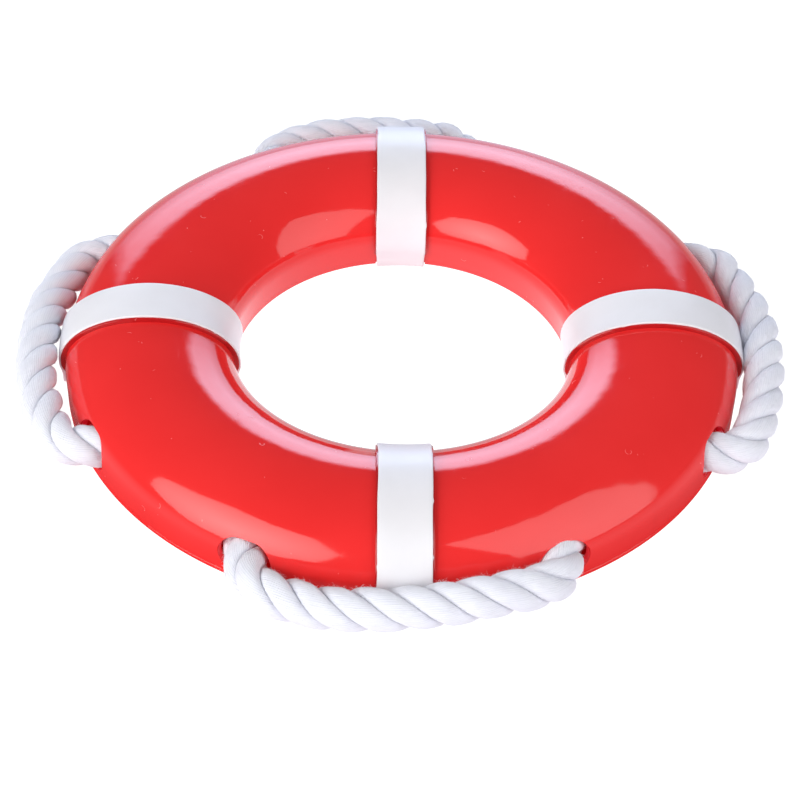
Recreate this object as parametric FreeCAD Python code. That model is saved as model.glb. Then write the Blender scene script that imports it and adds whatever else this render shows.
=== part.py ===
"""Small ring lifebuoy: a hollow D-section ring with a base plate, four straps and a rope through eight holes.

Millimetres. The origin is at the middle of the ring on the surface that it stands on, and +Z is up.
The front strap is at -Y, the right one at +X, the back one at +Y and the left one at -X.
"""

import FreeCAD, Part
import math
import os

from FreeCAD import Rotation, Vector

# Ring: a D-section, flat below, with a short upright skirt and a half-elliptical crown
RING_OD = 205.0
SECTION_WIDTH = 51.0
RING_HEIGHT = 25.0
SKIRT_TOP = 8.5
WALL = 2.2
BASE_THICKNESS = 1.6
SEAM_CHAMFER = 0.25
FOOT_FILLET = 0.6

# Locating ribs of the base plate, inside the shell
RIB_THICKNESS = 1.5
RIB_TOP = 2.4
RIB_GAP = 0.1

# Straps, each on a raised pad of the shell, with a hook under the base plate at each end
STRAP_WIDTH = 15.5
STRAP_PROUD = 2.0
PAD_PROUD = 1.4
PAD_MARGIN = 0.75
STRAP_GAP = 0.03
HOOK_REACH = 4.0
HOOK_THICKNESS = 0.8
HOOK_LIFT = 0.1
HOOK_GAP = 0.15

# Rope holes: round-ended slots through the outer skirt
HOLE_WIDTH = 17.0
HOLE_HEIGHT = 13.8
HOLE_MID_HEIGHT = 9.2
HOLE_OFFSET = 26.2
BACK_RIGHT_HOLE_OFFSET = 12.4

# Rope
ROPE_DIAMETER = 12.0
ARC_SHARE = 0.45
SLEEVE_LENGTH = 14.0
SLEEVE_WALL = 0.7
SLEEVE_GAP = 0.03
LOOP_SPACE_OUT = 20.0
LOOP_SPACE_IN = 7.0

RING_RADIUS = (RING_OD - SECTION_WIDTH) / 2
OUTER_RADIUS = RING_OD / 2
INNER_RADIUS = OUTER_RADIUS - SECTION_WIDTH
CROWN_HEIGHT = RING_HEIGHT - SKIRT_TOP
LEVEL = 1e-6
UP = Vector(0, 0, 1)
CENTRE = Vector(0, 0, 0)

# Each side: its name, the angle of its strap about +Z from the front, and the ends of its moving loop along
# the strap's own sideways axis, where the loop is cut square to its hinge
SIDES = (
    ("front", 0, -34.0, 34.0),
    ("right", 90, -34.0, 34.0),
    ("back", 180, -10.5, 34.0),
    ("left", 270, -34.0, 34.0),
)

# The rope's route outside the ring on each side, as (angle from the strap, radius, height)
OUTSIDE = {
    "front": (
        (-24.7, 110.6, 9.0),
        (-14.6, 111.7, 8.8),
        (-6.5, 111.8, 9.4),
        (1, 111.2, 10.4),
        (8, 111, 11.8),
        (14.8, 110.8, 13.0),
        (24.6, 110.2, 10.8),
    ),
    "right": (
        (-24.5, 110.5, 9.0),
        (-14.6, 111.5, 9.9),
        (-6.5, 111.2, 10.4),
        (1, 110.9, 10.3),
        (8, 110.9, 9.6),
        (14.4, 110.4, 8.8),
        (24.3, 110.3, 8.8),
    ),
    "back": (
        (-10.6, 110.6, 8.2),
        (0.9, 112.4, 6.4),
        (7.6, 112.2, 7.0),
        (14.3, 111.4, 7.6),
        (24.2, 110.4, 8.6),
    ),
    "left": (
        (-24.3, 110.3, 8.8),
        (-14.4, 110.5, 8.8),
        (-7.4, 111, 9.9),
        (0.5, 111.2, 10.7),
        (7.6, 111.6, 10.6),
        (14.6, 111.9, 9.9),
        (24.5, 110.6, 9.0),
    ),
}

# The route inside the hollow, from each side to the next one, as (angle from the first side, radius, height)
INSIDE = {
    "front": ((28.7, 91.8, 9.4), (38, 87, 8.6), (52, 87, 8.6), (61.3, 91.8, 9.4)),
    "right": ((28.6, 91.8, 9.4), (38.5, 86.8, 8.6), (57.5, 86.8, 8.6), (74.5, 90.5, 9.6)),
    "back": ((28.6, 91.8, 9.4), (36.6, 87, 8.6), (53.4, 87, 8.6), (61.4, 91.8, 9.4)),
    "left": ((28.6, 91.8, 9.4), (38, 87, 8.6), (52, 87, 8.6), (61.3, 91.8, 9.4)),
}
SPLICED = "back"


def on_ring(angle, radius, height):
    """The point at an angle about +Z from the front, a radius and a height."""
    turn = math.radians(angle)
    return Vector(radius * math.sin(turn), -radius * math.cos(turn), height)


def turned(shape, angle):
    """The shape turned about +Z from the front to an angle."""
    shape.Placement = FreeCAD.Placement(CENTRE, Rotation(UP, angle))
    return shape


def ring_of(section_edges):
    """The solid of revolution about +Z of a closed section."""
    return Part.Face(Part.Wire(section_edges)).revolve(CENTRE, UP, 360)


def d_body(proud, bottom):
    """The ring's full D-section, grown by proud and cut off level at bottom, as a solid of revolution."""
    half = SECTION_WIDTH / 2 + proud
    middle = Vector(RING_RADIUS, 0, SKIRT_TOP)
    outer = middle + Vector(half, 0, 0)
    inner = middle - Vector(half, 0, 0)
    crown = Part.Ellipse(outer, Vector(RING_RADIUS, 0, RING_HEIGHT + proud), middle)
    outer_foot = Vector(outer.x, 0, bottom)
    inner_foot = Vector(inner.x, 0, bottom)
    return ring_of(
        [
            Part.LineSegment(outer_foot, outer).toShape(),
            Part.ArcOfEllipse(crown, 0, math.pi).toShape(),
            Part.LineSegment(inner, inner_foot).toShape(),
            Part.LineSegment(inner_foot, outer_foot).toShape(),
        ]
    )


def flat_ring(inner_radius, outer_radius, bottom, top):
    """A plain ring of rectangular section."""
    height = top - bottom
    base = Vector(0, 0, bottom)
    return Part.makeCylinder(outer_radius, height, base).cut(Part.makeCylinder(inner_radius, height, base))


def across_section(angle, width):
    """An upright slab of a width that holds the whole section at one side of the ring, straps included."""
    margin = 2 * STRAP_PROUD
    depth = SECTION_WIDTH + 2 * margin
    height = RING_HEIGHT + 2 * margin
    corner = Vector(-width / 2, -OUTER_RADIUS - margin, -margin)
    return turned(Part.makeBox(width, depth, height, corner), angle)


def edges_at(shape, height):
    """The shape's level edges at a height."""
    return [edge for edge in shape.Edges if all(abs(vertex.Z - height) < LEVEL for vertex in edge.Vertexes)]


def pads(body):
    """The four stretches of a body that lie under the straps, a little wider than they are."""
    width = STRAP_WIDTH + 2 * PAD_MARGIN
    return [body.common(across_section(angle, width)) for _, angle, _, _ in SIDES]


def rope_hole(angle):
    """A round-ended bar that cuts one rope hole through the outer skirt."""
    end_radius = HOLE_HEIGHT / 2
    spread = HOLE_WIDTH / 2 - end_radius
    depth = SECTION_WIDTH / 4
    start = -OUTER_RADIUS - WALL
    corner = Vector(-spread, start, HOLE_MID_HEIGHT - end_radius)
    bar = Part.makeBox(2 * spread, depth, HOLE_HEIGHT, corner)
    for side in (-spread, spread):
        centre = Vector(side, start, HOLE_MID_HEIGHT)
        bar = bar.fuse(Part.makeCylinder(end_radius, depth, centre, Vector(0, 1, 0)))
    return turned(bar, angle)


def hole_angles():
    """The eight rope holes' angles: one each side of every strap."""
    for name, angle, _, _ in SIDES:
        yield angle - (BACK_RIGHT_HOLE_OFFSET if name == "back" else HOLE_OFFSET)
        yield angle + HOLE_OFFSET


def make_ring_shell():
    """The red shell: the D-section with its pads, hollowed from below, with the rope holes."""
    body = d_body(0, BASE_THICKNESS)
    body = body.makeChamfer(SEAM_CHAMFER, edges_at(body, BASE_THICKNESS))
    body = body.fuse(pads(d_body(PAD_PROUD, BASE_THICKNESS)))
    body = body.cut(d_body(-WALL, 0))
    return body.cut([rope_hole(angle) for angle in hole_angles()]).removeSplitter()


def hook_slots():
    """What the hooks of the straps take out of the base plate's underside."""
    width = STRAP_WIDTH + 2 * HOOK_GAP
    top = HOOK_LIFT + HOOK_THICKNESS + HOOK_GAP
    reach = HOOK_REACH + HOOK_GAP
    outer = flat_ring(OUTER_RADIUS - reach, OUTER_RADIUS + STRAP_PROUD, -top, top)
    inner = flat_ring(INNER_RADIUS - STRAP_PROUD, INNER_RADIUS + reach, -top, top)
    return [ring.common(across_section(angle, width)) for ring in (outer, inner) for _, angle, _, _ in SIDES]


def make_base_plate():
    """The red plate that closes the shell from below, with two locating ribs inside it."""
    plate = flat_ring(INNER_RADIUS, OUTER_RADIUS, 0, BASE_THICKNESS)
    plate = plate.makeFillet(FOOT_FILLET, edges_at(plate, 0))
    plate = plate.makeChamfer(SEAM_CHAMFER, edges_at(plate, BASE_THICKNESS))
    plate = plate.fuse(pads(flat_ring(INNER_RADIUS - PAD_PROUD, OUTER_RADIUS + PAD_PROUD, 0, BASE_THICKNESS)))
    outer_rib = OUTER_RADIUS - WALL - RIB_GAP
    inner_rib = INNER_RADIUS + WALL + RIB_GAP
    ribs = [
        flat_ring(outer_rib - RIB_THICKNESS, outer_rib, BASE_THICKNESS, RIB_TOP),
        flat_ring(inner_rib, inner_rib + RIB_THICKNESS, BASE_THICKNESS, RIB_TOP),
    ]
    return plate.fuse(ribs).cut(hook_slots()).removeSplitter()


def make_strap(angle):
    """One white strap: it follows the section over its pad, and its two ends hook under the base plate."""
    band = d_body(STRAP_PROUD, HOOK_LIFT).cut(d_body(PAD_PROUD + STRAP_GAP, 0))
    hook_top = HOOK_LIFT + HOOK_THICKNESS
    outer_hook = flat_ring(OUTER_RADIUS - HOOK_REACH, OUTER_RADIUS + STRAP_PROUD, HOOK_LIFT, hook_top)
    inner_hook = flat_ring(INNER_RADIUS - STRAP_PROUD, INNER_RADIUS + HOOK_REACH, HOOK_LIFT, hook_top)
    whole = band.fuse([outer_hook, inner_hook])
    return whole.common(across_section(angle, STRAP_WIDTH)).removeSplitter()


def rope_route():
    """The closed route's points, and for each side the numbers of its first and last points.

    A side's stretch begins at the second half of the run inside the hollow before it, and ends at the first
    half of the one after it.
    """
    points = []
    stretches = {}
    for name, angle, _, _ in SIDES:
        before_loop = len(points)
        points += [on_ring(angle + turn, radius, height) for turn, radius, height in OUTSIDE[name] + INSIDE[name]]
        stretches[name] = (before_loop - 2, before_loop + len(OUTSIDE[name]) + 1)
    return points, stretches


def corner_arc(before, corner, after):
    """The arc that rounds one corner of the route: its start, middle and end, and its radius."""
    back = (before - corner).normalize()
    on = (after - corner).normalize()
    half_turn = (math.pi - back.getAngle(on)) / 2
    reach = ARC_SHARE * min((before - corner).Length, (after - corner).Length)
    radius = reach / math.tan(half_turn)
    inward = (back + on).normalize()
    middle = corner + inward * (radius / math.cos(half_turn) - radius)
    return corner + back * reach, middle, corner + on * reach, radius


def rope_path(points, first, last):
    """The rope's centreline from the middle of the run before one point to the middle of the run after another."""
    count = len(points)
    here = (points[first - 1] + points[first]) / 2
    edges = []
    for number in range(first, last + 1):
        around = [points[(number + step) % count] for step in (-1, 0, 1)]
        start, middle, end, radius = corner_arc(*around)
        edges.append(Part.LineSegment(here, start).toShape())
        edges.append(Part.Arc(start, middle, end).toShape())
        here = end
        print(f"  corner {number % count}: radius {radius:.1f}")
    stop = (points[last % count] + points[(last + 1) % count]) / 2
    edges.append(Part.LineSegment(here, stop).toShape())
    return Part.Wire(edges)


def rope_tube(path):
    """The rope's tube along a path, with its volume checked against its section times its length."""
    first_edge = path.Edges[0]
    heading = first_edge.tangentAt(first_edge.FirstParameter)
    start = first_edge.valueAt(first_edge.FirstParameter)
    section = Part.Wire(Part.Circle(start, heading, ROPE_DIAMETER / 2).toShape())
    tube = path.makePipeShell([section], True, False)
    expected = math.pi * ROPE_DIAMETER**2 / 4 * path.Length
    print(f"  length {path.Length:.1f}, volume {tube.Volume:.0f}, section times length {expected:.0f}")
    return tube


def loop_space(angle, left, right):
    """The space outside the ring that holds a side's moving loop, between its two cuts."""
    corner = Vector(left, -OUTER_RADIUS - LOOP_SPACE_OUT, -RING_HEIGHT)
    depth = LOOP_SPACE_OUT + LOOP_SPACE_IN
    return turned(Part.makeBox(right - left, depth, 3 * RING_HEIGHT, corner), angle)


def make_rope():
    """The rope's pieces: a moving loop at each side, and what the ring holds still between the loops."""
    points, stretches = rope_route()
    loops = {}
    first_halves = {}
    last_halves = {}
    for name, angle, left, right in SIDES:
        print(f"rope at the {name}")
        first, last = stretches[name]
        tube = rope_tube(rope_path(points, first, last))
        space = loop_space(angle, left, right)
        loops[name] = tube.common(space)
        rest = tube.cut(space).Solids
        rest.sort(key=lambda solid: across(solid.CenterOfMass, angle))
        first_halves[name], last_halves[name] = rest
    return loops, first_halves, last_halves, points, stretches


def across(point, angle):
    """How far a point lies along a side's own sideways axis."""
    turn = math.radians(angle)
    return point.x * math.cos(turn) + point.y * math.sin(turn)


def make_sleeve(points, last):
    """The sleeve round the joint of the rope's two ends, in the middle of a straight run."""
    start = points[last]
    run = (points[(last + 1) % len(points)] - start).normalize()
    middle = (start + points[(last + 1) % len(points)]) / 2
    base = middle - run * SLEEVE_LENGTH / 2
    bore = ROPE_DIAMETER / 2 + SLEEVE_GAP
    outer = Part.makeCylinder(bore + SLEEVE_WALL, SLEEVE_LENGTH, base, run)
    return outer.cut(Part.makeCylinder(bore, SLEEVE_LENGTH, base, run))


def rope_nodes():
    """Every node of the rope by name."""
    loops, first_halves, last_halves, points, stretches = make_rope()
    names = [side[0] for side in SIDES]
    nodes = {f"grab_rope_loop_{name}": loops[name] for name in names}
    for name, following in zip(names, names[1:] + names[:1]):
        if name == SPLICED:
            nodes["grab_rope_end_a"] = last_halves[name]
            nodes["grab_rope_end_b"] = first_halves[following]
            nodes["rope_sleeve"] = make_sleeve(points, stretches[name][1])
        else:
            run = last_halves[name].fuse(first_halves[following]).removeSplitter()
            nodes[f"grab_rope_run_{name}_{following}"] = run
    return nodes


def main():
    """Writes every node's STEP file."""
    os.makedirs("parts", exist_ok=True)
    nodes = {"ring_shell": make_ring_shell(), "base_plate": make_base_plate()}
    for name, angle, _, _ in SIDES:
        nodes[f"strap_{name}"] = make_strap(angle)
    nodes.update(rope_nodes())
    for name, shape in nodes.items():
        solids = shape.Solids
        print(f"{name}: solids {len(solids)}, valid {shape.isValid()}, volume {shape.Volume:.0f}")
        solid = solids[0] if len(solids) == 1 else shape
        solid.exportStep(f"parts/{name}.step")


main()
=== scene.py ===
"""A small ring lifebuoy: glossy red moulded ring, four white straps and a laid cotton grab rope.

Metres, in the CAD's frame. Each side of the ring has its own directions: "along" runs sideways past the
strap, "out" points away from the ring's middle and "up" is +Z. The sides stand at angles about +Z from the
front, where the camera is.
"""

import math
import random

import bmesh
import bpy
import numpy as np
from mathutils import Matrix, Vector


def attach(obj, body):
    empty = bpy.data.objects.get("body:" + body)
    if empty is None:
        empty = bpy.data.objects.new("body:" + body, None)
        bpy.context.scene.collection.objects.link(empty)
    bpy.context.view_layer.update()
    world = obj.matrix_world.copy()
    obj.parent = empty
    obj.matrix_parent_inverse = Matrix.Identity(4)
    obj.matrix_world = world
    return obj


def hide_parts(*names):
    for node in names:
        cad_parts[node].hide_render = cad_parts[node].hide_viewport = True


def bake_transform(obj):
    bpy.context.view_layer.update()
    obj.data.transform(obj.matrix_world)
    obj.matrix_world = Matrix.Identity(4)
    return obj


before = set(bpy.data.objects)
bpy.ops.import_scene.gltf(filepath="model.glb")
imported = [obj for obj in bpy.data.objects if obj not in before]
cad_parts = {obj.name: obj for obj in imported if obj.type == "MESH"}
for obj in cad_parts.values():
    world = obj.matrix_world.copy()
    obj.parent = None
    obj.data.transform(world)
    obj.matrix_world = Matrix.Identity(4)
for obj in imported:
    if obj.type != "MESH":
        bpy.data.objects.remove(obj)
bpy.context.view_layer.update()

MM = 0.001
TAU = 2 * math.pi

# The ring's section, as in the CAD: a half ellipse, the crown, on two upright skirts
RING_RADIUS = 77.0 * MM
HALF_WIDTH = 25.5 * MM
SKIRT_TOP = 8.5 * MM
CROWN_HEIGHT = 16.5 * MM
BASE_TOP = 1.6 * MM
WALL = 2.2 * MM
SKIN = 0.6 * MM
# The parting line between shell and plate shows on the outside and is all but closed on the inside
SEAM_CHAMFER = 0.25 * MM
INNER_SEAM = 0.03 * MM
PLATE_BEVEL = 0.35 * MM
SKIRT_SOFTNESS = 0.4 * MM
CROWN_BEND = CROWN_HEIGHT**2 / HALF_WIDTH

# Straps and the pads below them. "Proud" is the height over the ring's wall.
STRAP_WIDTH = 15.5 * MM
STRAP_PROUD = 2.0 * MM
PAD_PROUD = 1.4 * MM
PAD_MARGIN = 0.55 * MM
PAD_SINK = 0.4 * MM
STRAP_GAP = 0.03 * MM
HOOK_REACH = 4.0 * MM
HOOK_THICKNESS = 0.8 * MM
HOOK_LIFT = 0.1 * MM
# Below DRAW_IN_TOP they draw in towards the wall, over DRAW_IN_RUN
STRAP_DRAW_IN = 0.7 * MM
PAD_DRAW_IN = 1.65 * MM
DRAW_IN_TOP = 7.5 * MM
DRAW_IN_RUN = 4.5 * MM

HOLE_WIDTH = 16.8 * MM
HOLE_HEIGHT = 12.4 * MM
HOLE_MID_HEIGHT = 8.5 * MM
# (depth below the ring's surface, widening) along the plug that cuts a hole, in millimetres
HOLE_FLARE = ((-6, 0.9), (-0.7, 0.9), (-0.02, 0.24), (0.07, 0.12), (0.2, 0.03), (0.4, 0), (4.6, 0))

SIDES = {"front": 0, "right": 90, "back": 180, "left": 270}
HOLES = (-26.2, 26.2, 63.8, 116.2, 167.6, 206.2, 243.8, 296.2)
RING_STEPS = 360
CROWN_STEPS = 72


# ---------------------------------------------------------------- helpers


def mesh_object(name, points, faces):
    """A new smooth-shaded object from points and faces."""
    mesh = bpy.data.meshes.new(name)
    mesh.from_pydata([tuple(p) for p in points], [], [tuple(f) for f in faces])
    mesh.validate()
    made = bpy.data.objects.new(name, mesh)
    bpy.context.scene.collection.objects.link(made)
    shade_smooth(made)
    return made


def shade_smooth(made, smooth_angle=None):
    """Smooth shading but for edges sharper than smooth_angle degrees."""
    mesh = made.data
    mesh.polygons.foreach_set("use_smooth", [True] * len(mesh.polygons))
    if smooth_angle is not None:
        mesh.set_sharp_from_angle(angle=math.radians(smooth_angle))
    mesh.update()


def outward(made):
    """Turns the object's faces to point outwards."""
    work = bmesh.new()
    work.from_mesh(made.data)
    bmesh.ops.recalc_face_normals(work, faces=work.faces)
    work.to_mesh(made.data)
    work.free()


def grid_faces(rows, columns, close_rows=False, close_columns=False, first=0):
    """The quads of a grid of points, row after row."""
    faces = []
    for i in range(rows if close_rows else rows - 1):
        for j in range(columns if close_columns else columns - 1):
            a, b = i * columns, (i + 1) % rows * columns
            c = (j + 1) % columns
            faces.append((first + a + j, first + a + c, first + b + c, first + b + j))
    return faces


def capped_faces(rings, count, first=0):
    """The faces of a closed tube of rings with count points each, its two end caps last."""
    faces = grid_faces(rings, count, False, True, first)
    last = first + (rings - 1) * count
    faces.append(tuple(range(first + count - 1, first - 1, -1)))
    faces.append(tuple(range(last, last + count)))
    return faces


def apply_booleans(made, others, operation):
    """Cuts the object with the others, which are then removed, and leaves it with one material index."""
    for other in others:
        cut = made.modifiers.new("cut", "BOOLEAN")
        cut.object, cut.operation, cut.solver = other, operation, "EXACT"
    graph = bpy.context.evaluated_depsgraph_get()
    result = bpy.data.meshes.new_from_object(made.evaluated_get(graph))
    made.modifiers.clear()
    made.data = result
    for other in others:
        bpy.data.objects.remove(other)
    result.polygons.foreach_set("material_index", [0] * len(result.polygons))
    shade_smooth(made, 24)


def on_ring(angle, radius, height):
    """The point at an angle about +Z from the front, a radius and a height."""
    turn = math.radians(angle)
    return Vector((radius * math.sin(turn), -radius * math.cos(turn), height))


def from_side(angle, along, out, up):
    """The point given in the frame of the side at an angle."""
    turn = math.radians(angle)
    return Vector(
        (along * math.cos(turn) + out * math.sin(turn), along * math.sin(turn) - out * math.cos(turn), up)
    )


# ---------------------------------------------------------------- section


def skirt_inset(height):
    """How far the skirt's outside draws in at a height. It leaves the crown without a jump in curvature."""
    depth = max(0.0, SKIRT_TOP - height) / SKIRT_SOFTNESS
    return SKIRT_SOFTNESS**2 / CROWN_BEND * (depth - 1 + math.exp(-depth))


def crown(turn, proud):
    """(radius, height) on the crown, from the outer skirt at turn 0 to the inner one at pi."""
    return (
        RING_RADIUS + (HALF_WIDTH + proud) * math.cos(turn),
        SKIRT_TOP + (CROWN_HEIGHT + proud) * math.sin(turn),
    )


def section(proud, outer_bottom, inner_bottom, crown_steps=CROWN_STEPS, skirt_steps=14):
    """(radius, height) points over the section, from the outer foot to the inner one."""
    half = HALF_WIDTH + proud
    points = []
    for i in range(skirt_steps):
        height = outer_bottom + (SKIRT_TOP - outer_bottom) * i / skirt_steps
        points.append((RING_RADIUS + half - skirt_inset(height), height))
    for i in range(crown_steps + 1):
        points.append(crown(math.pi * i / crown_steps, proud))
    for i in range(1, skirt_steps + 1):
        height = SKIRT_TOP + (inner_bottom - SKIRT_TOP) * i / skirt_steps
        points.append((RING_RADIUS - half + skirt_inset(height), height))
    return points


def drawn_in(points, amount):
    """The section's points, with the skirts' lower parts moved in towards the wall by up to amount."""
    moved = []
    for radius, height in points:
        share = max(0.0, min(1.0, (DRAW_IN_TOP - height) / DRAW_IN_RUN))
        shift = amount * share * share * (3 - 2 * share)
        moved.append((radius - math.copysign(shift, radius - RING_RADIUS), height))
    return moved


def lathe(name, profile):
    """The closed profile turned about +Z."""
    points = []
    for k in range(RING_STEPS):
        points.extend(on_ring(360 * k / RING_STEPS, radius, height) for radius, height in profile)
    made = mesh_object(name, points, grid_faces(RING_STEPS, len(profile), True, True))
    outward(made)
    shade_smooth(made, 35)
    return made


# ---------------------------------------------------------------- ring


def make_hole_cutter(angle):
    """A round-ended plug whose mouth flares, so that it leaves a rounded edge."""
    end_radius = HOLE_HEIGHT / 2
    spread = HOLE_WIDTH / 2 - end_radius
    outline, steps = [], 48
    for i in range(steps):
        turn = TAU * (i + 0.5) / steps
        shift = spread if math.cos(turn) > 0 else -spread
        outline.append((shift, math.cos(turn), math.sin(turn)))
    points = []
    for depth, flare in HOLE_FLARE:
        for shift, across, up in outline:
            reach = end_radius + flare * MM
            along, height = shift + reach * across, HOLE_MID_HEIGHT + reach * up
            rise = max(0.0, min(0.999, (height - SKIRT_TOP) / CROWN_HEIGHT))
            radius = RING_RADIUS + HALF_WIDTH * math.sqrt(1 - rise * rise) - skirt_inset(height)
            out = math.sqrt(radius * radius - along * along) - depth * MM
            points.append(from_side(angle, along, out, height))
    made = mesh_object("hole_cutter", points, capped_faces(len(HOLE_FLARE), steps))
    outward(made)
    return made


def make_ring_shell():
    """The hollow red moulding, open below, with its seam chamfer and eight rope holes."""
    outer_foot, inner_foot = BASE_TOP + SEAM_CHAMFER, BASE_TOP + INNER_SEAM
    outside = section(0, outer_foot, inner_foot)
    hollow = section(-WALL, BASE_TOP, BASE_TOP, CROWN_STEPS // 2)
    outer_rim = (RING_RADIUS + HALF_WIDTH - SEAM_CHAMFER - skirt_inset(outer_foot), BASE_TOP)
    inner_rim = (RING_RADIUS - HALF_WIDTH + INNER_SEAM + skirt_inset(inner_foot), BASE_TOP)
    shell = lathe("ring_shell_moulding", [*outside, inner_rim, *hollow[::-1], outer_rim])
    apply_booleans(shell, [make_hole_cutter(angle) for angle in HOLES], "DIFFERENCE")
    return shell


def make_base_plate():
    """The plate under the shell: the CAD's, trimmed to the shell's foot, so without tabs under the pads."""
    plate = bpy.data.objects.new("base_plate_moulding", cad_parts["base_plate"].data.copy())
    bpy.context.scene.collection.objects.link(plate)
    half = HALF_WIDTH - skirt_inset(BASE_TOP)
    low, high = -1 * MM, 12 * MM

    def edge(ease):
        """(reach from the ring's radius, height) up one side of what is kept, eased off at the seam."""
        foot = [(half - PLATE_BEVEL + low, low), (half, PLATE_BEVEL)]
        return [*foot, (half, BASE_TOP - ease), (half - ease, BASE_TOP), (half - ease, high)]

    profile = [(RING_RADIUS + reach, height) for reach, height in edge(SEAM_CHAMFER)]
    profile += [(RING_RADIUS - reach, height) for reach, height in edge(INNER_SEAM)[::-1]]
    apply_booleans(plate, [lathe("plate_keeper", profile)], "INTERSECT")
    return plate


def band(name, angle, stations, width, wander=None):
    """A closed band over the section at an angle. Each station is one cut through it, as a ring of
    (share of half the width, radius, height), and wander(station, share) moves its edges sideways."""
    points = []
    for k, ring in enumerate(stations):
        for across, radius, height in ring:
            along = across * width / 2
            if wander:
                along += wander(k, across)
            out = math.sqrt(max(radius * radius - along * along, 0))
            points.append(from_side(angle, along, out, height))
    made = mesh_object(name, points, capped_faces(len(stations), len(stations[0])))
    outward(made)
    return made


def make_pad(side, angle):
    """The raised red pad that shows along both edges of a strap."""
    width = STRAP_WIDTH + 2 * PAD_MARGIN
    edge = 0.22 * MM / (width / 2)
    high = PAD_PROUD
    # (across share, height over the wall), with rounded edges
    shape = [(-1, -PAD_SINK), (-1, high - 0.2 * MM), (-1 + edge, high - 0.03 * MM), (-1 + 2 * edge, high)]
    flat = [(-1 + 2 * edge + (2 - 4 * edge) * i / 8, high) for i in range(1, 8)]
    shape = shape + flat + [(-across, proud) for across, proud in shape[::-1]]
    foot = BASE_TOP + 0.1 * MM
    rings = [drawn_in(section(proud, foot, foot), PAD_DRAW_IN) for _, proud in shape]
    stations = [[(shape[j][0], *rings[j][k]) for j in range(len(shape))] for k in range(len(rings[0]))]
    pad = band(f"ring_pad_{side}", angle, stations, width)
    shade_smooth(pad, 30)
    return pad


def strap_path(proud, bottom, draw_in):
    """(radius, height) over the section along the strap's outer or inner face, hooks included."""
    points = drawn_in(section(proud, bottom, bottom, CROWN_STEPS, 12), draw_in)
    outer_hook = (RING_RADIUS + HALF_WIDTH - HOOK_REACH, bottom)
    inner_hook = (RING_RADIUS - HALF_WIDTH + HOOK_REACH, bottom)
    return [outer_hook, *points, inner_hook]


def make_strap(side, angle, seed):
    """One white strap with softly rounded edges, their waves and small burrs, and its two hooks."""
    draw = random.Random(seed)
    phases = [draw.uniform(0, TAU) for _ in range(6)]
    # One millimetre as a share of half the width
    unit = 1 * MM / (STRAP_WIDTH / 2)
    # The inner face draws in by as much as the pad is proud, so at its foot it comes to the ring's wall
    outer = strap_path(STRAP_PROUD, HOOK_LIFT, STRAP_DRAW_IN)
    inner = strap_path(PAD_PROUD + STRAP_GAP, HOOK_LIFT + HOOK_THICKNESS, PAD_PROUD)
    count = len(outer)
    # (across share, share of the way from the inner face to the outer one)
    lip = [(1, 0.0), (1, 0.55), (1 - 0.08 * unit, 0.8), (1 - 0.26 * unit, 0.94), (1 - 0.6 * unit, 1.0)]
    over = [(1 - 0.6 * unit) * (1 - i / 5) for i in range(1, 10)]
    shape = lip + [(across, 1.0) for across in over] + [(-across, up) for across, up in lip[::-1]]
    shape += [(across, 0.0) for across in (-0.5, 0, 0.5)]
    # (place along the strap, which edge, height in millimetres)
    burrs = [(draw.uniform(0.12, 0.9), draw.choice((-1, 1)), draw.uniform(0.12, 0.3)) for _ in range(5)]
    # (turns along the strap, size in millimetres)
    waves = ((1.3, 0.11), (3.1, 0.08), (7.3, 0.03))
    burr_share = 0.006

    def wander(k, across):
        share = k / (count - 1)
        which = 0 if across > 0 else 3
        wave = sum(
            size * math.sin(TAU * turns * share + phases[which + n])
            for n, (turns, size) in enumerate(waves)
        )
        for place, hand, height in burrs:
            if across * hand > 0.99:
                wave += hand * height * math.exp(-(((share - place) / burr_share) ** 2))
        return wave * MM * min(1.0, abs(across) ** 4)

    stations = []
    for k in range(count):
        ring = []
        for across, up in shape:
            radius = inner[k][0] + (outer[k][0] - inner[k][0]) * up
            height = inner[k][1] + (outer[k][1] - inner[k][1]) * up
            ring.append((across, radius, height))
        stations.append(ring)
    strap = band(f"strap_{side}_moulding", angle, stations, STRAP_WIDTH, wander)
    shade_smooth(strap, 40)
    return strap


# ---------------------------------------------------------------- rope route

# The rope's control points outside the ring at each side, close to the CAD's: (angle from the strap, radius,
# height) in degrees and millimetres
OUTSIDE = {
    "front": (
        (-24.4, 109.7, 7.6),
        (-14.3, 111.9, 7.4),
        (-6.5, 111.8, 8.9),
        (1, 111.2, 10.2),
        (8, 111, 11.4),
        (14.8, 110.8, 12.2),
        (24.2, 109.5, 9.6),
    ),
    "right": (
        (-24.5, 110.4, 7.5),
        (-14.6, 111.0, 9.0),
        (-6.5, 110.6, 10.2),
        (1, 110.5, 10.3),
        (8, 110.4, 9.4),
        (14.4, 110.0, 8.2),
        (24.3, 109.9, 7.4),
    ),
    "back": (
        (-10.6, 109.8, 7.2),
        (0.9, 112.2, 6.4),
        (7.6, 112.2, 7.2),
        (13.9, 111.4, 7.6),
        (23.1, 109.8, 7.3),
    ),
    "left": (
        (-24.3, 109.9, 7.5),
        (-14.4, 110.3, 8.4),
        (-7.4, 110.8, 9.7),
        (0.5, 111.0, 10.5),
        (7.6, 111.4, 10.3),
        (14.6, 111.7, 9.3),
        (24.5, 110.5, 7.7),
    ),
}
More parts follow.
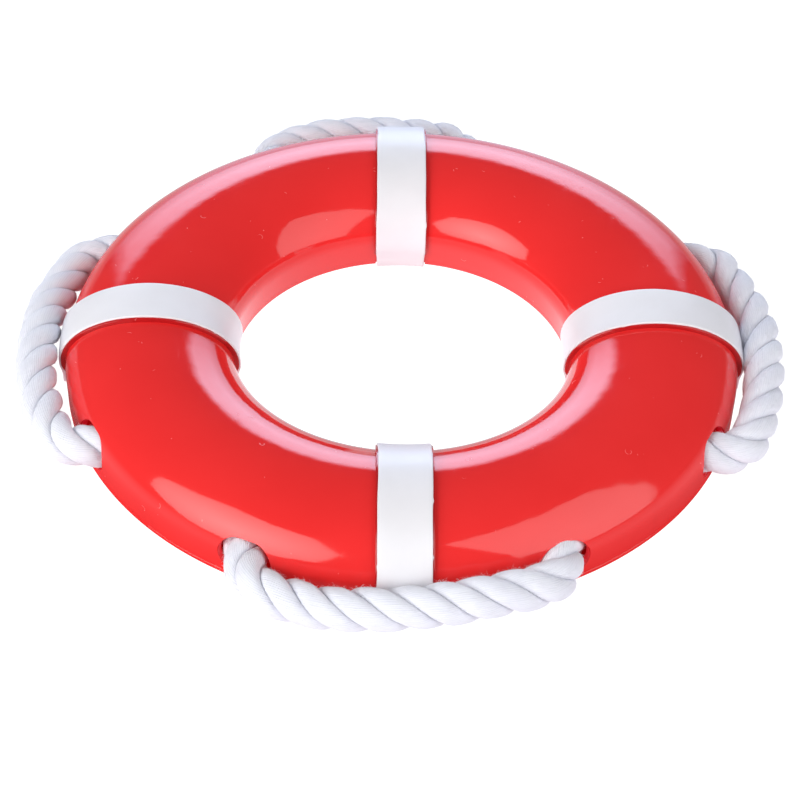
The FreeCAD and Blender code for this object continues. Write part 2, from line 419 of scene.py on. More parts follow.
# The rope inside the hollow, from each side to the next one
INSIDE = {
    "front": ((28.7, 91.8, 8.5), (38, 87, 8.4), (52, 87, 8.4), (61.3, 91.8, 8.5)),
    "right": ((28.6, 91.8, 8.5), (38.5, 86.8, 8.4), (57.5, 86.8, 8.4), (74.5, 90.5, 8.6)),
    "back": ((27.9, 91.8, 8.5), (36.6, 87, 8.6), (53.4, 87, 8.6), (61.4, 91.8, 8.5)),
    "left": ((28.6, 91.8, 8.5), (38, 87, 8.4), (52, 87, 8.4), (61.3, 91.8, 8.5)),
}


def rope_control_points():
    """The route from the splice in the hollow, left, front, right and back, to the splice again."""
    route = []
    for side in ("left", "front", "right", "back"):
        for turn, radius, height in OUTSIDE[side] + INSIDE[side]:
            route.append(on_ring(SIDES[side] + turn, radius * MM, height * MM))
    splice = (route[-3] + route[-2]) / 2
    return [splice, route[-2], route[-1], *route[:-2], splice]


def spline_line(points):
    """The points of the route's NURBS spline, from a curve with no bevel."""
    curve = bpy.data.curves.new("rope_route", "CURVE")
    curve.dimensions, curve.resolution_u = "3D", 24
    spline = curve.splines.new("NURBS")
    spline.points.add(len(points) - 1)
    for control, point in zip(spline.points, points):
        control.co = (*point, 1)
    spline.order_u = 3
    spline.use_endpoint_u = True
    carrier = bpy.data.objects.new("rope_route", curve)
    mesh = bpy.data.meshes.new_from_object(carrier)
    line = np.array([v.co for v in mesh.vertices], float)
    bpy.data.meshes.remove(mesh)
    bpy.data.objects.remove(carrier)
    bpy.data.curves.remove(curve)
    return line


def evenly(line, step):
    """The line again with points about step apart, and their distances along it."""
    runs = np.linalg.norm(np.diff(line, axis=0), axis=1)
    along = np.concatenate([[0], np.cumsum(runs)])
    keep = np.concatenate([[True], runs > 1e-9])
    count = round(along[-1] / step) + 1
    at = np.linspace(0, along[-1], count)
    return np.stack([np.interp(at, along[keep], line[keep, k]) for k in range(3)], axis=1), at


def carried_frames(line):
    """Two directions square to the line and to each other at each point, carried along it without twist."""
    ahead = np.gradient(line, axis=0)
    ahead /= np.linalg.norm(ahead, axis=1, keepdims=True)
    first = [np.cross(ahead[0], (0, 0, 1))]
    first[0] /= np.linalg.norm(first[0])
    for k in range(1, len(line)):
        carried = first[-1] - ahead[k] * (first[-1] @ ahead[k])
        first.append(carried / np.linalg.norm(carried))
    return np.array(first), np.cross(ahead, first)


# ---------------------------------------------------------------- rope

# How far along the rope a strand goes round it once
LAY = 30.5 * MM
STRANDS = 3
YARNS = 34
POINTS_PER_YARN = 4
YARN_DEPTH = 0.13 * MM
# Each strand fills a sector of the rope, and its crown drops by GROOVE_SHARE of the radius at its edges
ROPE_RADIUS = 6.2 * MM
GROOVE_SHARE = 0.27
STRAND_SPREAD = TAU / STRANDS / 2
STRAND_GAP = 0.985
# The distance between two stations along the rope
ROPE_STEP = 1.1 * MM
# How far the lay leads an even one, in strands, at each side's first hole, middle and second hole
LAY_LEAD = {"left": (0, 0, 0), "front": (0.4, 0.35, 0.3), "right": (0, 0.05, -0.9), "back": (0, 0, 0)}


def strand_outline():
    """One strand's outline in the rope's section, evenly spaced: its points, outward normals and length."""
    crown_at = np.linspace(-STRAND_SPREAD, STRAND_SPREAD, 600)
    crown_out = ROPE_RADIUS * (1 - GROOVE_SHARE * np.abs(crown_at / STRAND_SPREAD) ** 3)
    flank_out = np.linspace(0.05, 1, 200, endpoint=False) * crown_out[0]
    flank_at = np.full(len(flank_out), STRAND_SPREAD)
    turn = np.concatenate([-flank_at, crown_at, flank_at])
    out = np.concatenate([flank_out, crown_out, flank_out[::-1]])
    loop = np.stack([out * np.cos(turn), STRAND_GAP * out * np.sin(turn)], axis=1)
    closed = np.vstack([loop, loop[:1]])
    along = np.concatenate([[0], np.cumsum(np.linalg.norm(np.diff(closed, axis=0), axis=1))])
    at = np.linspace(0, along[-1], 720, endpoint=False)
    even = np.stack([np.interp(at, along, closed[:, k]) for k in (0, 1)], axis=1)
    # A few rounds of averaging take the corners off
    for _ in range(6):
        even = (np.roll(even, 1, axis=0) + 2 * even + np.roll(even, -1, axis=0)) / 4
    ahead = np.roll(even, -1, axis=0) - np.roll(even, 1, axis=0)
    normal = np.stack([ahead[:, 1], -ahead[:, 0]], axis=1) / np.linalg.norm(ahead, axis=1, keepdims=True)
    return even, normal, along[-1]


def lay_lead(line):
    """The lay's lead at each point of the line, in radians. The line starts at -135 degrees from the front,
    goes round by the left strap, at -90, to the back one, at 180, and on to the start again."""
    turned = np.degrees(np.unwrap(np.arctan2(line[:, 0], -line[:, 1])))
    stations, leads = [], []
    hole_turn = 24
    for number, values in enumerate(LAY_LEAD.values()):
        for turn, value in zip((-hole_turn, 0, hole_turn), values):
            stations.append(90 * (number - 1) + turn)
            leads.append(value * TAU / STRANDS)
    lead = np.interp(turned, stations, leads)
    reach = 13
    window = np.hanning(2 * reach + 1)
    return np.convolve(np.pad(lead, reach, mode="edge"), window / window.sum(), "valid")


def strand_surface(line, at, seed=3):
    """For each strand, its points [station, round it, xyz] with the yarns' ridges running along it."""
    side, up = carried_frames(line)
    outline, normal, length = strand_outline()
    fine = np.arange(len(outline) + 1) / len(outline)
    looped = [np.append(values, values[0]) for values in (*outline.T, *normal.T)]
    round_count = YARNS * POINTS_PER_YARN
    ridge = np.array([0.0, 0.75, 1.0, 0.75])[np.arange(round_count) % POINTS_PER_YARN]
    draw = np.random.default_rng(seed)
    # The strands' angle round the rope, with two slow waves in the lay
    twist = TAU * at / LAY + lay_lead(line)
    twist += 0.13 * np.sin(at * TAU / (97 * MM) + 1.0) + 0.07 * np.sin(at * TAU / (41 * MM) + 0.4)
    # The yarns lie along the rope, so they cross each strand's crown as the strand turns
    drift = -twist * ROPE_RADIUS * 0.95 / length
    strands = []
    for n in range(STRANDS):
        swell = 1 + sum(
            size * np.sin(at * TAU / (wave * MM) + draw.uniform(0, TAU))
            for size, wave in ((0.018, 23.0), (0.016, 41.0), (0.01, 9.0))
        )
        yarn_size = np.repeat(0.7 + 0.6 * draw.random(YARNS), POINTS_PER_YARN)
        share = (np.arange(round_count)[None, :] / round_count + drift[:, None]) % 1.0
        x, y, normal_x, normal_y = (np.interp(share, fine, values) for values in looped)
        lift = YARN_DEPTH * yarn_size[None, :] * (ridge[None, :] - 0.7)
        x = x * swell[:, None] + normal_x * lift
        y = y * swell[:, None] + normal_y * lift
        turn = (twist + TAU * n / STRANDS)[:, None]
        sideways = x * np.cos(turn) - y * np.sin(turn)
        upwards = x * np.sin(turn) + y * np.cos(turn)
        strands.append(
            line[:, None, :] + sideways[..., None] * side[:, None, :] + upwards[..., None] * up[:, None, :]
        )
    return strands


def rope_piece(name, strands, first, last):
    """The strands' stretch between two stations, closed at its ends, with the yarns' own UV map."""
    round_count = strands[0].shape[1]
    points, faces = [], []
    for strand in strands:
        part = strand[first : last + 1]
        faces.extend(capped_faces(len(part), round_count, len(points)))
        points.extend(part.reshape(-1, 3))
    made = mesh_object(name, points, faces)
    outward(made)
    shade_smooth(made)
    layer = made.data.uv_layers.new(name="yarns")
    vertex = np.zeros(len(made.data.loops), np.int32)
    made.data.loops.foreach_get("vertex_index", vertex)
    per_strand = (last - first + 1) * round_count
    n, rest = vertex // per_strand, vertex % per_strand
    station, column = rest // round_count, rest % round_count
    loop_start = np.zeros(len(made.data.polygons), np.int32)
    made.data.polygons.foreach_get("loop_start", loop_start)
    loop_total = np.zeros(len(made.data.polygons), np.int32)
    made.data.polygons.foreach_get("loop_total", loop_total)
    face_of = np.repeat(np.arange(len(loop_start)), loop_total)
    # A face that joins the last column to the first counts the first one as one column more
    low = np.full(len(loop_start), round_count)
    high = np.zeros(len(loop_start), int)
    np.minimum.at(low, face_of, column)
    np.maximum.at(high, face_of, column)
    wraps = (high - low) == round_count - 1
    column = np.where(wraps[face_of] & (column == 0), round_count, column)
    # Each strand has its own stretch of the map
    across = column / POINTS_PER_YARN + n * (YARNS + 3)
    along = (station + first) * ROPE_STEP / MM
    layer.data.foreach_set("uv", np.stack([across, along], axis=1).astype(np.float32).ravel())
    return made


def fuzz_piece(name, line, strands, first, last, count, seed):
    """Fine loose fibre ends that stand off the strands, as thin closed spikes."""
    draw = random.Random(seed)
    points, faces = [], []
    round_count = strands[0].shape[1]
    for _ in range(count):
        strand = strands[draw.randrange(STRANDS)]
        k = draw.randrange(first + 1, last - 1)
        j = draw.randrange(round_count)
        root = Vector(strand[k, j])
        ahead = (Vector(strand[k + 1, j]) - Vector(strand[k - 1, j])).normalized()
        sideways = (Vector(strand[k, (j + 1) % round_count]) - Vector(strand[k, j - 1])).normalized()
        away = sideways.cross(ahead).normalized()
        if away.dot(root - Vector(strand[k].mean(0))) < 0:
            away.negate()
        # No fibres in the grooves between strands
        if away.dot((root - Vector(line[k])).normalized()) < 0.5:
            continue
        length = draw.uniform(0.3, 1.2) * draw.uniform(0.8, 1.8) * MM
        lean = ahead * draw.choice((-1, 1)) * draw.uniform(0.3, 1.6) + sideways * draw.uniform(-0.8, 0.8)
        rise = (away * draw.uniform(0.35, 1.0) + lean * 0.6).normalized()
        curl = (rise + lean * draw.uniform(0.2, 0.9) - away * draw.uniform(0, 0.5)).normalized()
        thick = draw.uniform(0.014, 0.028) * MM
        mid = root + rise * length * 0.5
        tip = mid + curl * length * 0.5
        # None that would reach the floor
        if min(root.z, mid.z, tip.z) < 0.1 * MM:
            continue
        a = rise.cross(curl + Vector((0.01, 0.02, 0.03))).normalized()
        b = rise.cross(a).normalized()
        start = len(points)
        for base, size in ((root - rise * 0.1 * MM, thick), (mid, thick * 0.8)):
            for turn in (0, TAU / 3, 2 * TAU / 3):
                points.append(base + (a * math.cos(turn) + b * math.sin(turn)) * size)
        points.append(tip)
        faces.append((start + 2, start + 1, start))
        for i in range(3):
            m = (i + 1) % 3
            faces.append((start + i, start + m, start + 3 + m, start + 3 + i))
            faces.append((start + 3 + i, start + 3 + m, start + 6))
    made = mesh_object(name, points, faces)
    shade_smooth(made)
    return made


# ---------------------------------------------------------------- materials


def add(tree, kind, values=None, **settings):
    """A new node of a material, with its inputs set or joined to other nodes' outputs."""
    made = tree.nodes.new(kind)
    for name, value in settings.items():
        setattr(made, name, value)
    for name, value in (values or {}).items():
        if isinstance(value, bpy.types.NodeSocket):
            tree.links.new(value, made.inputs[name])
        else:
            made.inputs[name].default_value = value
    return made


def new_material(name):
    """A material with an empty node tree, and the tree."""
    made = bpy.data.materials.new(name)
    made.use_nodes = True
    made.node_tree.nodes.clear()
    return made, made.node_tree


def math_node(tree, operation, a, b=0.0, clamp=False):
    return add(tree, "ShaderNodeMath", {0: a, 1: b}, operation=operation, use_clamp=clamp).outputs[0]


def remap(tree, value, low, high, to_low=0.0, to_high=1.0):
    values = {"Value": value, "From Min": low, "From Max": high, "To Min": to_low, "To Max": to_high}
    return add(tree, "ShaderNodeMapRange", values, clamp=True).outputs[0]


def mixed(tree, share, first, second):
    """A colour between two. The mix node's colour inputs are numbers 6 and 7, and its output is number 2."""
    return add(tree, "ShaderNodeMix", {0: share, 6: first, 7: second}, data_type="RGBA").outputs[2]


def noise_node(tree, vector, scale, detail=2.0, rough=0.5):
    values = {"Vector": vector, "Scale": scale, "Detail": detail, "Roughness": rough}
    return add(tree, "ShaderNodeTexNoise", values).outputs["Fac"]


def stretched(tree, vector, scale, turn=(0, 0, 0)):
    values = {"Vector": vector, "Scale": scale, "Rotation": turn}
    return add(tree, "ShaderNodeMapping", values).outputs[0]


def finish_material(tree, shader):
    add(tree, "ShaderNodeOutputMaterial", {"Surface": shader.outputs[0]})


def specks(tree, place, scale, radius, share):
    """1 inside sparse small round specks, 0 elsewhere."""
    cells = add(tree, "ShaderNodeTexVoronoi", {"Vector": place, "Scale": scale, "Randomness": 1.0})
    near = math_node(tree, "LESS_THAN", cells.outputs["Distance"], radius)
    parts = add(tree, "ShaderNodeSeparateColor", {0: cells.outputs["Color"]})
    some = math_node(tree, "GREATER_THAN", parts.outputs[0], share)
    return math_node(tree, "MULTIPLY", near, some)


def lint(tree, place, scale, radius, width, share):
    """1 along sparse short curled fibres and hairline scratches, 0 elsewhere."""
    cells = add(tree, "ShaderNodeTexVoronoi", {"Vector": place, "Scale": scale, "Randomness": 1.0})
    ring = math_node(tree, "ABSOLUTE", math_node(tree, "SUBTRACT", cells.outputs["Distance"], radius))
    thin = math_node(tree, "LESS_THAN", ring, width)
    parts = add(tree, "ShaderNodeSeparateColor", {0: cells.outputs["Color"]})
    some = math_node(tree, "GREATER_THAN", parts.outputs[1], share)
    broken = math_node(tree, "GREATER_THAN", noise_node(tree, place, scale * 2.3, 1.0), 0.58)
    return math_node(tree, "MULTIPLY", math_node(tree, "MULTIPLY", thin, some), broken)


def red_plastic(name, low, high):
    """Glossy moulded plastic with dust, lint, scuffs and flow lines, its colour between low and high."""
    made, tree = new_material(name)
    place = add(tree, "ShaderNodeTexCoord").outputs["Object"]
    cloud = noise_node(tree, place, 22.0, 3.0)
    colour = mixed(tree, remap(tree, cloud, 0.3, 0.7), (*low, 1), (*high, 1))
    # Dust and lint
    dust = specks(tree, place, 300.0, 0.06, 0.88)
    hair = lint(tree, place, 230.0, 0.22, 0.022, 0.9)
    marks = math_node(tree, "MAXIMUM", dust, math_node(tree, "MULTIPLY", hair, 0.6))
    colour = mixed(tree, math_node(tree, "MULTIPLY", marks, 0.3), colour, (0.95, 0.5, 0.48, 1))
    # Roughness, with smudges and scuffs
    smudge = noise_node(tree, place, 45.0, 4.0, 0.6)
    scuffs = noise_node(tree, stretched(tree, place, (900.0, 90.0, 900.0), (0, 0, 0.5)), 1.0, 2.0)
    rough = remap(tree, smudge, 0.35, 0.75, 0.05, 0.12)
    rough = math_node(tree, "ADD", rough, remap(tree, scuffs, 0.55, 0.85, 0.0, 0.10))
    rough = math_node(tree, "MAXIMUM", rough, math_node(tree, "MULTIPLY", marks, 0.6))
    # Relief: orange peel, grit, and flow lines that run up and down the section
    peel = noise_node(tree, place, 160.0, 1.0)
    grit = noise_node(tree, place, 1500.0, 2.0)
    axes = add(tree, "ShaderNodeSeparateXYZ", {0: place})
    around = math_node(tree, "ARCTAN2", axes.outputs[1], axes.outputs[0])
    around = math_node(tree, "MULTIPLY", around, RING_RADIUS)
    flow = add(tree, "ShaderNodeCombineXYZ", {0: around, 1: axes.outputs[2], 2: 0.0}).outputs[0]
    streaks = noise_node(tree, stretched(tree, flow, (1300.0, 70.0, 1.0)), 1.0, 2.0)
    height = math_node(tree, "ADD", peel, math_node(tree, "MULTIPLY", grit, 0.02))
    height = math_node(tree, "ADD", height, math_node(tree, "MULTIPLY", streaks, 0.09))
    height = math_node(tree, "ADD", height, math_node(tree, "MULTIPLY", marks, 0.15))
    bump = add(tree, "ShaderNodeBump", {"Strength": 0.10, "Distance": 0.0005, "Height": height})
    shader = add(
        tree,
        "ShaderNodeBsdfPrincipled",
        {"Base Color": colour, "Roughness": rough, "Normal": bump.outputs[0], "IOR": 1.5},
    )
    finish_material(tree, shader)
    return made


def hollow_plastic():
    """The shell's inside, deep red with a painted glow: an emission that stands in for the light that comes
    through its thin wall.
    """
    made, tree = new_material("shell_red_inside")
    place = add(tree, "ShaderNodeTexCoord").outputs["Object"]
    cloud = noise_node(tree, place, 60.0, 3.0)
    colour = mixed(tree, remap(tree, cloud, 0.3, 0.7), (0.62, 0.018, 0.020, 1), (0.72, 0.024, 0.026, 1))
    shader = add(
        tree,
        "ShaderNodeBsdfPrincipled",
        {
            "Base Color": colour,
            "Roughness": remap(tree, cloud, 0.3, 0.7, 0.30, 0.42),
            # Painted glow: red emission that stands in for light in the hollow and the holes' walls, though
            # this part is no lamp
            "Emission Color": (0.40, 0.003, 0.012, 1),
            "Emission Strength": 0.5,
        },
    )
    finish_material(tree, shader)
    return made


def white_plastic():
    """Satin white plastic, slightly wavy and fine-grained."""
    made, tree = new_material("strap_white_satin")
    place = add(tree, "ShaderNodeTexCoord").outputs["Object"]
    cloud = noise_node(tree, place, 60.0, 4.0, 0.6)
    colour = mixed(tree, remap(tree, cloud, 0.3, 0.75), (0.78, 0.765, 0.80, 1), (0.82, 0.805, 0.84, 1))
    rough = remap(tree, noise_node(tree, place, 120.0, 3.0), 0.3, 0.7, 0.30, 0.40)
    wave = noise_node(tree, place, 110.0, 2.0)
    grain = noise_node(tree, place, 1800.0, 2.0)
    height = math_node(tree, "ADD", wave, math_node(tree, "MULTIPLY", grain, 0.05))
    bump = add(tree, "ShaderNodeBump", {"Strength": 0.25, "Distance": 0.0005, "Height": height})
    shader = add(
        tree,
        "ShaderNodeBsdfPrincipled",
        {"Base Color": colour, "Roughness": rough, "Normal": bump.outputs[0], "IOR": 1.5},
    )
    finish_material(tree, shader)
    return made


def cotton():
    """Cotton yarns with painted shade in the valleys between them, drawn on the yarns' own UV map."""
    made, tree = new_material("rope_cotton")
    yarns = add(tree, "ShaderNodeUVMap", uv_map="yarns").outputs[0]
    place = add(tree, "ShaderNodeTexCoord").outputs["Object"]
    across = add(tree, "ShaderNodeSeparateXYZ", {0: yarns}).outputs[0]
    from_ridge = math_node(tree, "SUBTRACT", math_node(tree, "FRACT", across), 0.5)
    from_ridge = math_node(tree, "ABSOLUTE", from_ridge)
    patchy = noise_node(tree, stretched(tree, yarns, (0.55, 0.10, 1.0)), 1.0, 2.0)
    # Painted shade in the valleys between the yarns, patchy along them
    valley_shade = remap(tree, from_ridge, 0.22, 0.5)
    valley_shade = math_node(tree, "MULTIPLY", valley_shade, remap(tree, patchy, 0.35, 0.7, 0.05, 1.0))
    fibres = noise_node(tree, stretched(tree, yarns, (6.0, 0.55, 1.0)), 1.0, 3.0, 0.6)
    slubs = noise_node(tree, stretched(tree, yarns, (0.9, 0.22, 1.0)), 1.0, 2.0)
    tint = noise_node(tree, place, 70.0, 3.0)
    colour = mixed(tree, remap(tree, tint, 0.3, 0.7), (0.825, 0.83, 0.915, 1), (0.875, 0.88, 0.95, 1))
    colour = mixed(tree, remap(tree, fibres, 0.25, 0.6, 0.12, 0.0), colour, (0.50, 0.51, 0.60, 1))
    colour = mixed(tree, math_node(tree, "MULTIPLY", valley_shade, 0.32), colour, (0.42, 0.43, 0.55, 1))
    height = math_node(tree, "ADD", fibres, math_node(tree, "MULTIPLY", slubs, 0.8))
    bump = add(tree, "ShaderNodeBump", {"Strength": 0.7, "Distance": 0.0003, "Height": height})
    shader = add(
        tree,
        "ShaderNodeBsdfPrincipled",
        {
            "Base Color": colour,
            "Roughness": 0.9,
            "Normal": bump.outputs[0],
            "Sheen Weight": 0.2,
            "Sheen Roughness": 0.5,
            "Specular IOR Level": 0.12,
        },
    )
    finish_material(tree, shader)
    return made


def plain_fibre():
    """The loose fibres' cotton."""
    made, tree = new_material("rope_fibre")
    place = add(tree, "ShaderNodeTexCoord").outputs["Object"]
    tint = noise_node(tree, place, 500.0, 1.0)
    colour = mixed(tree, tint, (0.78, 0.79, 0.86, 1), (0.88, 0.88, 0.93, 1))
    shader = add(tree, "ShaderNodeBsdfPrincipled", {"Base Color": colour, "Roughness": 0.9})
    finish_material(tree, shader)
    return made


def sleeve_plastic():
    """The clouded grey plastic of the sleeve inside the hollow."""
    made, tree = new_material("sleeve_clear_grey")
    place = add(tree, "ShaderNodeTexCoord").outputs["Object"]
    cloud = noise_node(tree, place, 300.0, 3.0)
    colour = mixed(tree, cloud, (0.55, 0.56, 0.58, 1), (0.68, 0.69, 0.71, 1))
    shader = add(tree, "ShaderNodeBsdfPrincipled", {"Base Color": colour, "Roughness": 0.35})
    finish_material(tree, shader)
    return made


def give(made, material):
    """Makes this the object's only material."""
    made.data.materials.clear()
    made.data.materials.append(material)


# ---------------------------------------------------------------- studio

# Angles in degrees, sensor and focal length in millimetres
CAMERA_ELEVATION = 41.30
CAMERA_DISTANCE = 848.0 * MM
CAMERA_TARGET = Vector((-0.15, -14.11, 0)) * MM
CAMERA_ROLL = 1.62
SENSOR_WIDTH = 36.0
FOCAL_LENGTH = 123.8
RING_TURN = -1.48


def make_camera():
    """The camera at the viewing angle, with its small roll, turned so that the straps stand on the axes."""
    tilt, roll = math.radians(CAMERA_ELEVATION), math.radians(CAMERA_ROLL)
    place = Vector((0, -math.cos(tilt), math.sin(tilt))) * CAMERA_DISTANCE
    ahead = (CAMERA_TARGET - place).normalized()
    right = ahead.cross(Vector((0, 0, 1))).normalized()
    up = right.cross(ahead)
    rolled_right = right * math.cos(roll) + up * math.sin(roll)
    rolled_up = up * math.cos(roll) - right * math.sin(roll)
    pose = Matrix((rolled_right, rolled_up, -ahead)).transposed().to_4x4()
    pose.translation = place
    lens = bpy.data.cameras.new("camera")
    lens.sensor_width, lens.lens = SENSOR_WIDTH, FOCAL_LENGTH
    lens.clip_start, lens.clip_end = 0.01, 50
    camera = bpy.data.objects.new("camera", lens)
    bpy.context.scene.collection.objects.link(camera)
    camera.matrix_world = Matrix.Rotation(math.radians(RING_TURN), 4, "Z") @ pose
    bpy.context.scene.camera = camera


def towards(azimuth, elevation, distance):
    """The place at an azimuth from +Y towards +X, an elevation and a distance from the ring's middle."""
    a, e = math.radians(azimuth), math.radians(elevation)
    return Vector((math.sin(a) * math.cos(e), math.cos(a) * math.cos(e), math.sin(e))) * distance


def light_panel(name, outline, place, aim, colour, middle, edge, reach):
    """A glowing flat panel that faces aim. Its strength falls from middle to edge over reach."""
    made = mesh_object(name, [(x, y, 0) for x, y in outline], [tuple(range(len(outline)))])
    made.location = place
    made.rotation_mode = "QUATERNION"
    made.rotation_quaternion = (place - aim).to_track_quat("Z", "Y")
    material, tree = new_material(name + "_glow")
    centre = add(tree, "ShaderNodeTexCoord").outputs["Object"]
    far = add(tree, "ShaderNodeVectorMath", {0: centre}, operation="LENGTH").outputs["Value"]
    strength = remap(tree, far, 0.0, reach, middle, edge)
    glow = add(tree, "ShaderNodeEmission", {"Color": (*colour, 1), "Strength": strength})
    finish_material(tree, glow)
    give(made, material)
    made.visible_camera = False


def make_floor():
    """The plain pale floor. The camera sees it white and without a shadow. As a light it is brightest behind
    the object and close to it, has a painted red contact shadow round the ring's foot, and a painted glow
    inside the ring."""
    size = 6.0
    corners = [(-size, -size, 0), (size, -size, 0), (size, size, 0), (-size, size, 0)]
    floor = mesh_object("floor", corners, [(0, 1, 2, 3)])
    material, tree = new_material("floor_white")
    place = add(tree, "ShaderNodeTexCoord").outputs["Object"]
    far = add(tree, "ShaderNodeVectorMath", {0: place}, operation="LENGTH").outputs["Value"]
    axes = add(tree, "ShaderNodeSeparateXYZ", {0: place})
    sideways = math_node(tree, "ABSOLUTE", math_node(tree, "DIVIDE", axes.outputs[0], far))
    behind = remap(tree, sideways, 0.35, 0.62, 1.0, 0.0)
    behind = math_node(tree, "MULTIPLY", behind, remap(tree, axes.outputs[1], 0.05, 0.2))
    near = remap(tree, far, 0.12, 0.32, 1.0, 0.0)
    faded = mixed(tree, near, (0.34, 0.33, 0.34, 1), (0.72, 0.70, 0.74, 1))
    lit = mixed(tree, behind, faded, (0.95, 1.0, 1.3, 1))
    # A painted contact shadow round the ring's foot, tinted with the ring's red light bounced onto the floor
    from_ring = math_node(tree, "ABSOLUTE", math_node(tree, "SUBTRACT", far, RING_RADIUS))
    contact = remap(tree, from_ring, HALF_WIDTH, HALF_WIDTH + 24 * MM, 0.95, 0.0)
    outside_ring = math_node(tree, "GREATER_THAN", far, RING_RADIUS)
    # Matt surfaces get part of the painted red contact shadow everywhere, reflections all of it outside the
    # ring
    ray = add(tree, "ShaderNodeLightPath").outputs
    diffuse = ray["Is Diffuse Ray"]
    share = math_node(tree, "MULTIPLY", diffuse, 0.58)
    share = math_node(tree, "MAXIMUM", share, math_node(tree, "SUBTRACT", outside_ring, diffuse))
    lit = mixed(tree, math_node(tree, "MULTIPLY", contact, share), lit, (0.40, 0.045, 0.05, 1))
    # A painted pool of light on the floor inside the ring, which shows only in reflections
    in_hole = math_node(tree, "SUBTRACT", remap(tree, far, 25 * MM, 52 * MM), outside_ring, clamp=True)
    in_hole = math_node(tree, "MULTIPLY", in_hole, remap(tree, axes.outputs[1], -30 * MM, 20 * MM, 0.3, 1.0))
    in_hole = math_node(tree, "SUBTRACT", in_hole, diffuse, clamp=True)
    lit = mixed(tree, in_hole, lit, (1.6, 1.55, 1.65, 1))
    strength = math_node(tree, "ADD", 1.0, math_node(tree, "MULTIPLY", diffuse, 0.8))
    glow = add(tree, "ShaderNodeEmission", {"Color": lit, "Strength": strength})
    white = add(tree, "ShaderNodeEmission", {"Color": (1, 1, 1, 1), "Strength": 1.2})
    seen = ray["Is Camera Ray"]
    both = add(tree, "ShaderNodeMixShader", {0: seen, 1: glow.outputs[0], 2: white.outputs[0]})
    finish_material(tree, both)
    give(floor, material)


def make_backdrop():
    """The lit sheet behind, brightest in a band, fading to its sides and softly above the band."""
    width, height, behind = 0.90, 1.15, 1.5
    corners = [(-width, 0, 0), (width, 0, 0), (width, 0, height), (-width, 0, height)]
    made = mesh_object("lamp_back", corners, [(0, 1, 2, 3)])
    made.location = (0, behind, 0)
    material, tree = new_material("lamp_back_glow")
    axes = add(tree, "ShaderNodeSeparateXYZ", {0: add(tree, "ShaderNodeTexCoord").outputs["Object"]})
    sideways = math_node(tree, "ABSOLUTE", axes.outputs[0])
    side_fade = remap(tree, sideways, 0.24, 0.80, 1.0, 0.38)
    side_fade = math_node(tree, "MULTIPLY", side_fade, remap(tree, sideways, 0.75, 0.90, 1.0, 0.0))
    ramp = add(tree, "ShaderNodeValToRGB", {0: math_node(tree, "DIVIDE", axes.outputs[2], height)})
    stops = ((0.0, 0.42), (0.18, 0.62), (0.33, 0.90), (0.66, 0.94), (0.73, 0.5), (0.80, 0.02))
    for number, (at, share) in enumerate(stops):
        stop = ramp.color_ramp.elements[number] if number < 2 else ramp.color_ramp.elements.new(at)
        stop.position, stop.color = at, (share, share, share, 1)
    strength = math_node(tree, "MULTIPLY", math_node(tree, "MULTIPLY", ramp.outputs[0], side_fade), 5.0)
    glow = add(tree, "ShaderNodeEmission", {"Color": (0.85, 1.0, 1.3, 1), "Strength": strength})
    finish_material(tree, glow)
    give(made, material)
    made.visible_camera = False


def make_world():
    """White to the camera and dim to everything else, so that the gloss shows the panels in a dark room."""
    world = bpy.data.worlds.new("studio")
    bpy.context.scene.world = world
    world.use_nodes = True
    tree = world.node_tree
    tree.nodes.clear()
    ray = add(tree, "ShaderNodeLightPath").outputs
    strength = math_node(tree, "ADD", 0.12, math_node(tree, "MULTIPLY", ray["Is Diffuse Ray"], 0.11))
    dim = add(tree, "ShaderNodeBackground", {"Color": (1, 1, 1, 1), "Strength": strength})
    white = add(tree, "ShaderNodeBackground", {"Color": (1, 1, 1, 1), "Strength": 1.2})
    seen = ray["Is Camera Ray"]
    both = add(tree, "ShaderNodeMixShader", {0: seen, 1: dim.outputs[0], 2: white.outputs[0]})
    add(tree, "ShaderNodeOutputWorld", {"Surface": both.outputs[0]})


def make_studio():
    """An eight-sided lamp at the left, a tall softbox at the right and a lit backdrop behind."""
    make_floor()
    make_backdrop()
    make_world()
    aim = Vector((0, 0, 0.01))
    eight = []
    for k in range(8):
        turn = TAU * (k + 0.5) / 8
        eight.append((0.80 * math.cos(turn), 0.80 * math.sin(turn)))
    light_panel("lamp_left", eight, towards(-128, 27, 1.4), aim, (0.99, 1.0, 0.99), 5.9, 2.8, 0.8)
    tall = [(-0.60, -1.2), (0.60, -1.2), (0.60, 1.05), (-0.60, 1.05)]
    light_panel("lamp_right", tall, towards(122, 28, 1.4), aim, (1.0, 1.0, 1.0), 2.5, 2.0, 1.2)


# ---------------------------------------------------------------- build

scene = bpy.context.scene
scene.view_settings.view_transform = "Standard"
scene.view_settings.look = "None"

make_camera()
make_studio()

STRAP_SEED = 11
FUZZ_SEED = 40

red = red_plastic("shell_red_gloss", (0.76, 0.023, 0.023), (0.81, 0.027, 0.027))
# The pads get a darker copy of the red: painted shade for the shadow gap along the straps' edges
shaded_pad_red = red_plastic("shell_red_pad_painted_shade", (0.42, 0.010, 0.012), (0.48, 0.012, 0.014))
white = white_plastic()
rope_material = cotton()
fibre_material = plain_fibre()

shell = make_ring_shell()
give(shell, red)
shell.data.materials.append(hollow_plastic())
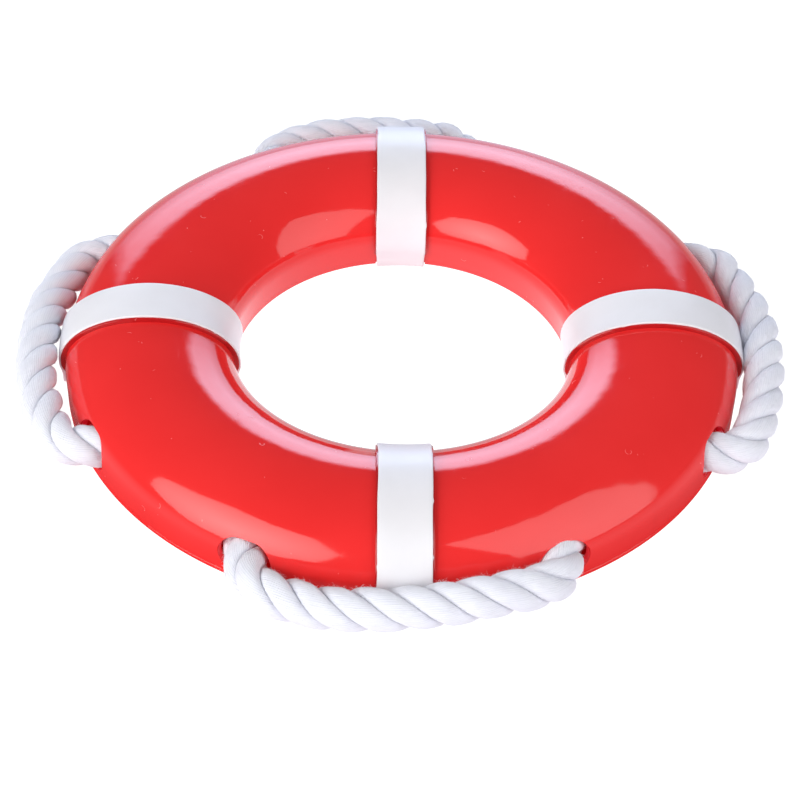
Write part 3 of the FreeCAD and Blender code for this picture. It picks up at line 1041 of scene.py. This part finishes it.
# Faces inside the ellipse that lies SKIN below the surface belong to the hollow and the holes' walls
for face in shell.data.polygons:
    reach = math.hypot(face.center.x, face.center.y) - RING_RADIUS
    height = face.center.z - SKIRT_TOP
    rise = max(0.0, height) / (CROWN_HEIGHT - SKIN)
    if math.hypot(reach / (HALF_WIDTH - SKIN), rise) < 1:
        face.material_index = 1
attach(shell, "ring")
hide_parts("ring_shell")
for number, (side, angle) in enumerate(SIDES.items()):
    pad = make_pad(side, angle)
    give(pad, shaded_pad_red)
    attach(pad, "ring")
    strap = make_strap(side, angle, STRAP_SEED + number)
    give(strap, white)
    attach(strap, "ring")
    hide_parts(f"strap_{side}")

plate = make_base_plate()
give(plate, red)
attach(plate, "ring")
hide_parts("base_plate")

# The rope is one laid length. The left piece starts at the splice, the others INSIDE_RUN before they come
# out of their first hole, and each ends where the next one starts.
INSIDE_RUN = 12 * MM
STAND_INS = {
    "left": ("grab_rope_end_b", "grab_rope_loop_left", "grab_rope_run_left_front"),
    "front": ("grab_rope_loop_front", "grab_rope_run_front_right"),
    "right": ("grab_rope_loop_right", "grab_rope_run_right_back"),
    "back": ("grab_rope_loop_back", "grab_rope_end_a"),
}
# Loose fibres tried on each piece
FIBRES = 15000

line, at = evenly(spline_line(rope_control_points()), ROPE_STEP)
strands = strand_surface(line, at)
outside = np.hypot(line[:, 0], line[:, 1]) > RING_RADIUS + HALF_WIDTH
starts = [k for k in range(1, len(line)) if outside[k] and not outside[k - 1]]
cuts = [0] + [k - round(INSIDE_RUN / ROPE_STEP) for k in starts[1:]] + [len(line) - 1]
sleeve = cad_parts["rope_sleeve"]
give(sleeve, sleeve_plastic())
for number, (side, first, last) in enumerate(zip(STAND_INS, cuts, cuts[1:])):
    piece = rope_piece(f"rope_{side}", strands, first, last)
    give(piece, rope_material)
    fuzz = fuzz_piece(f"rope_fuzz_{side}", line, strands, first, last, FIBRES, FUZZ_SEED + number)
    give(fuzz, fibre_material)
    for made in (piece, fuzz):
        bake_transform(made)
    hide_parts(*STAND_INS[side])
